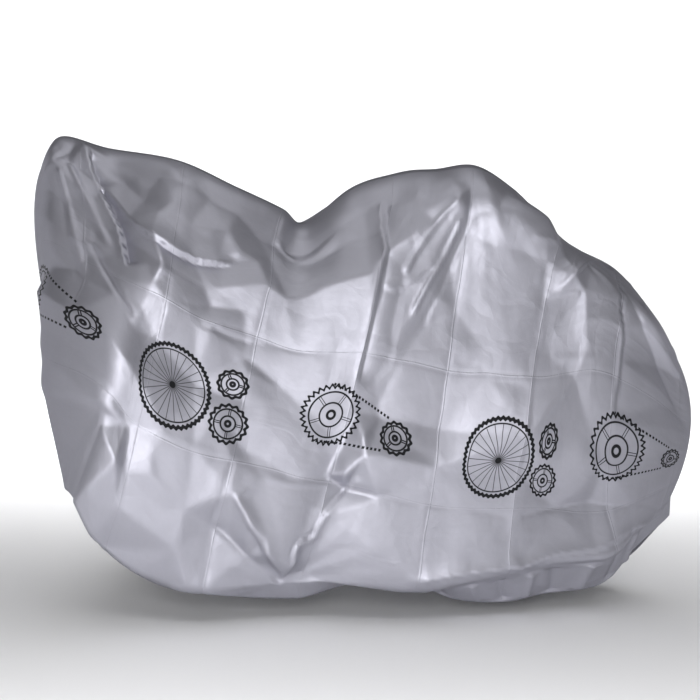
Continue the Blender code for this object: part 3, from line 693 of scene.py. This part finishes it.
def facet_height(along, down, creases):
    """Height of flat facets between creases: the places of all creases, and places with no rise round the edges, are
    joined into triangles, and each of those is a plane through its three corners. The mean of each point and its
    neighbours then softens the edges by one step of the grid."""
    sides = [(x, y, 0) for x in np.linspace(0, PANEL_LENGTH, 21) for y in (0, PANEL_DEPTH)]
    ends = [(x, y, 0) for x in (0, PANEL_LENGTH) for y in np.linspace(0, PANEL_DEPTH, 12)[1:-1]]
    places = [place for crease in creases for place in crease]
    corners = np.array(places + sides + ends, dtype=float)
    faces = delaunay_2d_cdt([Vector(corner[:2]) for corner in corners], [], [], 0, 1e-6)[2]
    height = np.zeros(along.shape)
    for face in faces:
        (x, y, rise), (x1, y1, rise1), (x2, y2, rise2) = corners[list(face)]
        area = (x1 - x) * (y2 - y) - (x2 - x) * (y1 - y)
        first = ((along - x) * (y2 - y) - (x2 - x) * (down - y)) / area
        second = ((x1 - x) * (down - y) - (along - x) * (y1 - y)) / area
        inside = (first > -1e-6) & (second > -1e-6) & (first + second < 1 + 1e-6)
        height[inside] = (rise + (rise1 - rise) * first + (rise2 - rise) * second)[inside] / 1000
    height[1:-1] = (height[:-2] + 6 * height[1:-1] + height[2:]) / 8
    height[:, 1:-1] = (height[:, :-2] + 6 * height[:, 1:-1] + height[:, 2:]) / 8
    return height


def tuck_fold(rise, width, top_along, top_down, edge_along):
    """The row of a fold that is tucked in at the hem."""
    return "crease", rise, width, 0, 20, 10, [(top_along, top_down), (edge_along, TUCK_END)]


def panel_surface(stations, creases, folds, tucks, fans, out, seed):
    """The grid of points of one folded panel and its two fabric coordinates: the course, moved along its outward
    normals by the facets, the folds, the pack's creases and the crumpling, which fade out at the welded edges."""
    lines_along = grid_lines(PANEL_LENGTH, GRID_STEP, PACK_COLUMNS)
    lines_down = grid_lines(PANEL_DEPTH, GRID_STEP, PACK_ROWS)
    along, down = np.meshgrid(lines_along, lines_down, indexing="ij")
    points = course(along, down, stations)
    normals = outward(points, lines_along, lines_down, out)
    height = facet_height(along, down, creases)
    tuck_folds = [tuck_fold(**dict(zip(TUCK_COLUMNS, row))) for row in tucks]
    for row in folds + tuck_folds:
        add_fold(height, along, down, **dict(zip(FOLD_COLUMNS, row)))
    for row in fans:
        fan(height, along, down, **dict(zip(FAN_COLUMNS, row)))
    height += pack_creases(along, down, seed) + crumple(along, down, seed + 10)
    to_edge = np.minimum(np.minimum(along, PANEL_LENGTH - along), down)
    height *= soft_step(to_edge / SEAM_FADE + SEAM_SHARE)
    points += normals * height[..., None]
    points[..., 1] += out * (SEAM_GAP + SEAM_OPENING * (1 - np.exp(-to_edge / SEAM_FADE)))
    return points, along, down


def grid_quads(shape):
    """The corners of each quad on a grid of points of this shape."""
    index = np.arange(math.prod(shape)).reshape(shape)
    return np.stack([index[:-1, :-1], index[:-1, 1:], index[1:, 1:], index[1:, :-1]], axis=-1).reshape(-1, 4)


def sheet_object(name, points, along, down, out, material):
    """A mesh of quads on the grid of points, with the fabric coordinates, in metres, as its UV map."""
    quads = grid_quads(along.shape)
    if out > 0:
        quads = quads[:, ::-1]
    mesh = bpy.data.meshes.new(name)
    mesh.from_pydata(points.reshape(-1, 3), [], quads)
    layer = mesh.uv_layers.new(name="fabric")
    corners = np.stack([along.ravel(), down.ravel()], axis=-1)[quads.ravel()]
    layer.data.foreach_set("uv", corners.ravel().astype(np.float32))
    mesh.shade_smooth()
    mesh.materials.append(material)
    sheet = bpy.data.objects.new(name, mesh)
    bpy.context.scene.collection.objects.link(sheet)
    return sheet


class Wire:
    """One output socket in a material. Arithmetic on it adds Math nodes, so shader maths reads as Python."""

    def __init__(self, tree, socket):
        self.tree = tree
        self.socket = socket

    def node(self, kind, settings=None, inputs=None, output=0):
        """Adds a node of this type: its settings first, then the values or links of its sockets."""
        made = self.tree.nodes.new(kind)
        for key, value in (settings or {}).items():
            if key == "stops":
                ramp = made.color_ramp
                while len(ramp.elements) < len(value):
                    ramp.elements.new(1)
                for element, (place, colour) in zip(ramp.elements, value):
                    element.position = place
                    element.color = colour
            else:
                setattr(made, key, value)
        for key, value in (inputs or {}).items():
            if isinstance(value, Wire):
                self.tree.links.new(value.socket, made.inputs[key])
            else:
                made.inputs[key].default_value = value
        return Wire(self.tree, made.outputs[output])

    def math(self, operation, *others, clamp=False):
        inputs = dict(enumerate((self, *others)))
        return self.node("ShaderNodeMath", {"operation": operation, "use_clamp": clamp}, inputs)

    def __add__(self, other):
        return self.math("ADD", other)

    def __sub__(self, other):
        return self.math("SUBTRACT", other)

    def __mul__(self, other):
        return self.math("MULTIPLY", other)

    def __truediv__(self, other):
        return self.math("DIVIDE", other)

    def __rsub__(self, other):
        return self.node("ShaderNodeMath", {"operation": "SUBTRACT"}, {0: other, 1: self})

    def __abs__(self):
        return self.math("ABSOLUTE")

    def __neg__(self):
        return self.math("MULTIPLY", -1.0)

    __radd__ = __add__
    __rmul__ = __mul__


def inside(value, edge, soft):
    """1 where a value is under an edge, 0 where it is over it, with a soft line between."""
    return ((edge - value) / soft + 0.5).math("ADD", 0.0, clamp=True)


def ring(radius, middle, half_width, soft):
    """A line of this half-width round the places whose radius is the middle one."""
    return inside(abs(radius - middle), half_width, soft)


def polar(x, y):
    """The distance and the angle of a place from the middle."""
    radius = (x * x + y * y).math("SQRT")
    angle = y.math("ARCTAN2", x)
    return radius, angle


def split(vector):
    """The first two parts of a vector."""
    parts = vector.node("ShaderNodeSeparateXYZ", {}, {0: vector})
    return parts, Wire(vector.tree, parts.socket.node.outputs[1])


def most(wires):
    """The highest of some values."""
    highest = wires[0]
    for wire in wires[1:]:
        highest = highest.math("MAXIMUM", wire)
    return highest


# Sizes of the print in metres, before print_size: its lines, and then the shares of a wheel's size.
LINE = 0.0017
SOFT = 0.0011
TOOTH, INNER_RIM, BOLT_CIRCLE, HUB, ARM = 0.055, 0.80, 0.42, 0.14, 0.10
KNOB, SPOKED_RIM, SPOKED_HUB = 0.02, 0.88, 0.09
# The wheels of the two motifs. The first motif is tilted, and a chain joins its wheels.
WHEEL_COLUMNS = ("across", "up", "size", "teeth", "arms")
DRIVE_WHEELS = [(-0.062, 0.0, 0.056, 30, 5), (0.082, 0.0, 0.028, 14, 3)]
SMALL_WHEELS = [(0.082, 0.036, 0.026, 12, 3), (0.086, -0.040, 0.034, 16, 4)]
SPOKED_WHEEL = {"across": -0.030, "up": -0.004, "size": 0.074, "spokes": 24}
CHAIN = {"across": -0.010, "half_span": 0.072, "large": 0.058, "small": 0.031}
CHAIN_LINK = 0.0085
DRIVE_TILT = math.radians(9)
INK = (0.012, 0.012, 0.014, 1)


def chainwheel(x, y, across, up, size, teeth, arms):
    """A toothed wheel in outline: its edge goes in and out with the teeth, and arms join the hub to the rim."""
    radius, angle = polar(x - across, y - up)
    edge = size + (angle * teeth).math("SINE") * (size * TOOTH)
    rim = ring(radius - edge, 0.0, LINE * 1.7, SOFT)
    inner = ring(radius, size * INNER_RIM, LINE, SOFT)
    bolt_circle = ring(radius, size * BOLT_CIRCLE, LINE, SOFT)
    hub = ring(radius, size * HUB, LINE * 1.6, SOFT)
    arm = ring(abs((angle * (arms / 2)).math("SINE")) * radius, size * ARM, LINE, SOFT)
    between = inside(radius, size * INNER_RIM, SOFT) * inside(size * BOLT_CIRCLE - radius, 0.0, SOFT)
    return most([rim, inner, bolt_circle, hub, arm * between])


def spoked_wheel(x, y, across, up, size, spokes):
    """A spoked ring with a knobbly edge, its rim, a hub and thin spokes."""
    radius, angle = polar(x - across, y - up)
    tread = size + (angle * (spokes * 2)).math("SINE") * (size * KNOB)
    edge = ring(radius - tread, 0.0, LINE * 2.2, SOFT)
    rim = ring(radius, size * SPOKED_RIM, LINE * 0.8, SOFT)
    hub = inside(radius, size * SPOKED_HUB, SOFT)
    spoke = abs((angle * (spokes / 2)).math("SINE")) * radius / (spokes / 2)
    spoke_lines = inside(spoke, LINE * 0.45, SOFT * 0.8) * inside(radius, size * SPOKED_RIM, SOFT)
    return most([edge, rim, hub, spoke_lines * 0.85])


def chain_loop(x, y, across, half_span, large, small):
    """The two straight runs of a chain between two wheels, as rows of links on the wheels' common tangents."""
    x = x - across
    slope = (large - small) / (2 * half_span)
    run = ring(abs(y) + x * slope, (large + small) / 2, LINE * 1.5, SOFT)
    links = inside(abs((x * (math.pi / CHAIN_LINK)).math("SINE")), 0.78, 0.2)
    return run * links * inside(abs(x), half_span, SOFT)


def wheels(x, y, rows):
    return [chainwheel(x, y, **dict(zip(WHEEL_COLUMNS, row))) for row in rows]


def print_mask(uv, sizes):
    """Where the print is black: a row of motifs, a chainwheel with its chain by turns with a spoked wheel."""
    along, down = split(uv)
    place = (along - sizes.print_start) / sizes.print_spacing
    number = place.math("FLOOR")
    odd = number.math("FLOORED_MODULO", 2.0)
    x = (place - number - 0.5) * sizes.print_spacing / sizes.print_size
    y = (sizes.print_down - down + (odd - 0.5) * sizes.print_stagger) / sizes.print_size
    turned_x = x * math.cos(DRIVE_TILT) - y * math.sin(DRIVE_TILT)
    turned_y = x * math.sin(DRIVE_TILT) + y * math.cos(DRIVE_TILT)
    drive = most(wheels(turned_x, turned_y, DRIVE_WHEELS) + [chain_loop(turned_x, turned_y, **CHAIN)])
    loose = most([spoked_wheel(x, y, **SPOKED_WHEEL), *wheels(x, y, SMALL_WHEELS)])
    return drive * (1 - odd) + loose * odd


# The film's shader: how often each pattern repeats in a metre, its detail, and its share of the crinkles' height.
TONE = {"Scale": 4.0, "Detail": 3.0}
GRAIN = {"Scale": 90.0, "Detail": 4.0}
WANDER = {"Scale": 5.0, "Detail": 2.0}
LARGE_CELLS, SMALL_CELLS = 8.0, 25.0
LARGE_SHARE, SMALL_SHARE, GRAIN_SHARE, LINE_SHARE = 1.3, 0.25, 0.1, 0.55
TONE_RANGE = (0.92, 1.06)
GRAIN_ROUGHNESS, INK_ROUGHNESS = 0.10, 0.10
CELL_WANDER, LINE_WANDER, LINE_OFFSET = 0.16, 0.012, 0.006


def noise(uv, sizes, output=0):
    return uv.node("ShaderNodeTexNoise", {"noise_dimensions": "2D"}, {"Vector": uv, **sizes}, output)


def cells(place, scale):
    kind = {"voronoi_dimensions": "2D", "distance": "MANHATTAN"}
    return place.node("ShaderNodeTexVoronoi", kind, {"Vector": place, "Scale": scale})


def moved(uv, wander, reach):
    """The fabric's places, each moved by the wander times this reach."""
    return uv.node("ShaderNodeVectorMath", {"operation": "MULTIPLY_ADD"}, {0: wander, 1: (reach, reach, 0.0), 2: uv})


def mixed(factor, first, second):
    return factor.node("ShaderNodeMix", {"data_type": "RGBA"}, {"Factor": factor, 6: first, 7: second}, output=2)


def crease_lines(uv, wander):
    """The sharp middle of the pack's creases: how near the fabric's place is to any of them, from 1 down to 0."""
    along, down = split(moved(uv, wander, LINE_WANDER))
    lines = [along - (place + LINE_OFFSET) for place in PACK_COLUMNS]
    lines += [down - (place + LINE_OFFSET) for place in PACK_ROWS]
    return most([(1 - abs(line) / CREASE_LINE).math("MAXIMUM", 0.0) for line in lines])


def film_material(name, colour, sizes):
    """Satin silver film: a metallic sheen broken by fine crinkles, slow changes of tone, and the black print."""
    material = bpy.data.materials.new(name)
    material.use_nodes = True
    tree = material.node_tree
    shader = tree.nodes["Principled BSDF"]
    uv = Wire(tree, tree.nodes.new("ShaderNodeTexCoord").outputs["UV"])
    dark, light = ([min(1.0, part * share) for part in colour] for share in TONE_RANGE)
    film = mixed(noise(uv, TONE), (*dark, 1), (*light, 1))
    grain = noise(uv, GRAIN)
    mask = print_mask(uv, sizes)
    ink = mixed(mask, film, INK)
    roughness = sizes.roughness + (grain - 0.5) * GRAIN_ROUGHNESS + mask * INK_ROUGHNESS
    metallic = (1 - mask) * sizes.metallic
    wander = noise(uv, WANDER, output=1)
    place = moved(uv, wander, CELL_WANDER)
    facets_and_grain = (
        cells(place, LARGE_CELLS) * LARGE_SHARE + cells(place, SMALL_CELLS) * SMALL_SHARE + grain * GRAIN_SHARE
    )
    crinkle = facets_and_grain + crease_lines(uv, wander) * (grain + 0.1) * LINE_SHARE
    bump = uv.node("ShaderNodeBump", {}, {"Height": crinkle, "Strength": sizes.crinkle, "Distance": 0.001})
    for socket, value in (("Base Color", ink), ("Roughness", roughness), ("Metallic", metallic), ("Normal", bump)):
        tree.links.new(value.socket, shader.inputs[socket])
    shader.inputs["Specular IOR Level"].default_value = 0.5
    shader.inputs["Specular Tint"].default_value = (0.25, 0.25, 0.25, 1)
    return material


class CoverSizes(bpy.types.PropertyGroup):
    film: FloatProperty(name="Film", description="Thickness of the film", default=0.0006, unit="LENGTH")
    near_colour: FloatVectorProperty(
        name="Near film", description="Colour of the near panel", default=(0.49, 0.488, 0.55), subtype="COLOR", size=3
    )
    # The far film is the near film's colour made a little darker: painted shade for the far panel, which lies in
    # shade.
    far_shaded_colour: FloatVectorProperty(
        name="Far film", description="Colour of the far panel", default=(0.47, 0.468, 0.53), subtype="COLOR", size=3
    )
    roughness: FloatProperty(name="Roughness", description="Spread of the sheen", default=0.52, subtype="FACTOR")
    metallic: FloatProperty(name="Metallic", description="Share of metallic sheen", default=0.82, subtype="FACTOR")
    crinkle: FloatProperty(name="Crinkle", description="Depth of the fine crinkles", default=1.0, subtype="FACTOR")
    print_start: FloatProperty(name="Print start", description="Front end of the row", default=-0.07, unit="LENGTH")
    print_spacing: FloatProperty(name="Print spacing", description="From motif to motif", default=0.42, unit="LENGTH")
    print_down: FloatProperty(name="Print down", description="From the top seam", default=0.62, unit="LENGTH")
    print_stagger: FloatProperty(name="Print stagger", description="Step of the motifs", default=0.02, unit="LENGTH")
    print_size: FloatProperty(name="Print size", description="Share of the drawn size", default=1.3, subtype="FACTOR")
    seed: IntProperty(name="Seed", description="Which crumpling the film takes", default=4)


class StudioSizes(bpy.types.PropertyGroup):
    floor_colour: FloatVectorProperty(
        name="Floor", description="Colour of the floor", default=(0.86, 0.86, 0.87), subtype="COLOR", size=3
    )
    key: FloatProperty(name="Key", description="Power of the light beside the camera", default=106.0, unit="POWER")
    fill: FloatProperty(name="Fill", description="Brightness of the surroundings", default=0.06, subtype="FACTOR")


def make_panel(name, node, tables, out, colour, seed):
    """Makes one panel from its stations, creases, folds, tucks and fans, and rides it on the part's body."""
    sizes = bpy.context.scene.cover_sizes
    points, along, down = panel_surface(*tables, out, seed)
    material = film_material(name + " film", colour, sizes)
    sheet = sheet_object(name, points, along, down, out, material)
    thicken = sheet.modifiers.new("film", "SOLIDIFY")
    thicken.thickness = sizes.film
    thicken.offset = 1
    thicken.use_even_offset = False
    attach(sheet, "root")
    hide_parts(node)
    return sheet


class COVER_OT_near_panel(bpy.types.Operator):
    """Makes the near panel of the cover: folded, creased and printed film."""

    bl_idname = "cover.near_panel"
    bl_label = "Near panel"

    def execute(self, context):
        sizes = context.scene.cover_sizes
        tables = (NEAR_STATIONS, NEAR_CREASES, NEAR_FOLDS, NEAR_TUCKS, NEAR_FANS)
        make_panel("near_film_panel", "near_side_panel", tables, -1, sizes.near_colour, sizes.seed)
        return {"FINISHED"}


class COVER_OT_far_panel(bpy.types.Operator):
    """Makes the far panel of the cover, which drapes the same way with folds of its own, in film a little darker than
    the near panel's: painted shade.
    """

    bl_idname = "cover.far_panel"
    bl_label = "Far panel"

    def execute(self, context):
        sizes = context.scene.cover_sizes
        tables = (FAR_STATIONS, FAR_CREASES, FAR_FOLDS, FAR_TUCKS, FAR_FANS)
        # The far panel's colour is painted shade: the near film's colour made a little darker.
        make_panel("far_film_panel", "far_side_panel", tables, 1, sizes.far_shaded_colour, sizes.seed + FAR_SEED)
        return {"FINISHED"}


def area_light(key, name, place, target, size, share, spread):
    """A rectangular light that looks at its target."""
    light = bpy.data.lights.new(name, "AREA")
    light.shape = "RECTANGLE"
    light.size, light.size_y = size
    light.energy = key * share
    light.spread = spread
    lamp = bpy.data.objects.new(name, light)
    lamp.location = place
    lamp.rotation_euler = (Vector(target) - Vector(place)).to_track_quat("-Z", "Y").to_euler()
    bpy.context.scene.collection.objects.link(lamp)


def camera_axes():
    """Where the camera stands and its right, up and backward directions, from its azimuth, elevation and roll."""
    azimuth, elevation, roll = (math.radians(CAMERA[key]) for key in ("azimuth", "elevation", "roll"))
    back = Vector(
        (math.sin(azimuth) * math.cos(elevation), -math.cos(azimuth) * math.cos(elevation), math.sin(elevation))
    )
    right = Vector((math.cos(azimuth), math.sin(azimuth), 0))
    up = back.cross(right)
    tilted_right = math.cos(roll) * right + math.sin(roll) * up
    tilted_up = -math.sin(roll) * right + math.cos(roll) * up
    return Vector(TARGET) + back * CAMERA["distance"], tilted_right, tilted_up, back


class COVER_OT_studio(bpy.types.Operator):
    """Makes the floor that curves up into a wall round the cover, the lights and the camera."""

    bl_idname = "cover.studio"
    bl_label = "Studio"

    def execute(self, context):
        sizes = context.scene.studio_sizes
        scene = context.scene
        self.floor(sizes)
        world = bpy.data.worlds.new("surroundings")
        world.use_nodes = True
        background = world.node_tree.nodes["Background"]
        background.inputs["Color"].default_value = (1, 1, 1, 1)
        background.inputs["Strength"].default_value = sizes.fill
        scene.world = world
        for row in LIGHTS:
            area_light(sizes.key, **dict(zip(LIGHT_COLUMNS, row)))
        place, right, up, back = camera_axes()
        camera = bpy.data.cameras.new("camera")
        camera.sensor_width = SENSOR
        camera.lens = CAMERA["scale"] * CAMERA["distance"] / PHOTO_WIDTH * SENSOR
        viewer = bpy.data.objects.new("camera", camera)
        viewer.matrix_world = Matrix.Translation(place) @ Matrix((right, up, back)).transposed().to_4x4()
        scene.collection.objects.link(viewer)
        scene.camera = viewer
        scene.view_settings.view_transform = "Standard"
        return {"FINISHED"}

    def floor(self, sizes):
        """A round floor that curves up into a wall on all sides: a profile of radius and height, turned about Z."""
        radius, height = np.array(FLOOR_PROFILE).T
        turn, radius = np.meshgrid(np.linspace(0, math.tau, FLOOR_SIDES + 1), radius, indexing="ij")
        z = np.broadcast_to(height, turn.shape) - REST_HEIGHT
        points = np.stack([radius * np.cos(turn), radius * np.sin(turn), z], axis=-1)
        faces = grid_quads(turn.shape)
        mesh = bpy.data.meshes.new("floor")
        mesh.from_pydata(points.reshape(-1, 3), [], faces)
        mesh.shade_smooth()
        material = bpy.data.materials.new("floor")
        material.use_nodes = True
        shader = material.node_tree.nodes["Principled BSDF"]
        shader.inputs["Base Color"].default_value = (*sizes.floor_colour, 1)
        shader.inputs["Roughness"].default_value = 0.8
        mesh.materials.append(material)
        floor = bpy.data.objects.new("floor", mesh)
        bpy.context.scene.collection.objects.link(floor)


class COVER_PT_panel(bpy.types.Panel):
    """Lists the pieces and their sizes."""

    bl_label = "Bicycle cover"
    bl_space_type = "VIEW_3D"
    bl_region_type = "UI"
    bl_category = "Bicycle cover"

    def draw(self, context):
        for sizes in (context.scene.cover_sizes, context.scene.studio_sizes):
            for name in sizes.__annotations__:
                self.layout.prop(sizes, name)
        for operator in OPERATORS:
            self.layout.operator(operator.bl_idname)


OPERATORS = (COVER_OT_near_panel, COVER_OT_far_panel, COVER_OT_studio)
CLASSES = (CoverSizes, StudioSizes, *OPERATORS, COVER_PT_panel)


def register():
    for cls in CLASSES:
        bpy.utils.register_class(cls)
    bpy.types.Scene.cover_sizes = PointerProperty(type=CoverSizes)
    bpy.types.Scene.studio_sizes = PointerProperty(type=StudioSizes)


def unregister():
    del bpy.types.Scene.studio_sizes
    del bpy.types.Scene.cover_sizes
    for cls in reversed(CLASSES):
        bpy.utils.unregister_class(cls)


def main():
    register()
    bpy.ops.cover.near_panel()
    bpy.ops.cover.far_panel()
    bpy.ops.cover.studio()


if __name__ == "__main__":
    main()
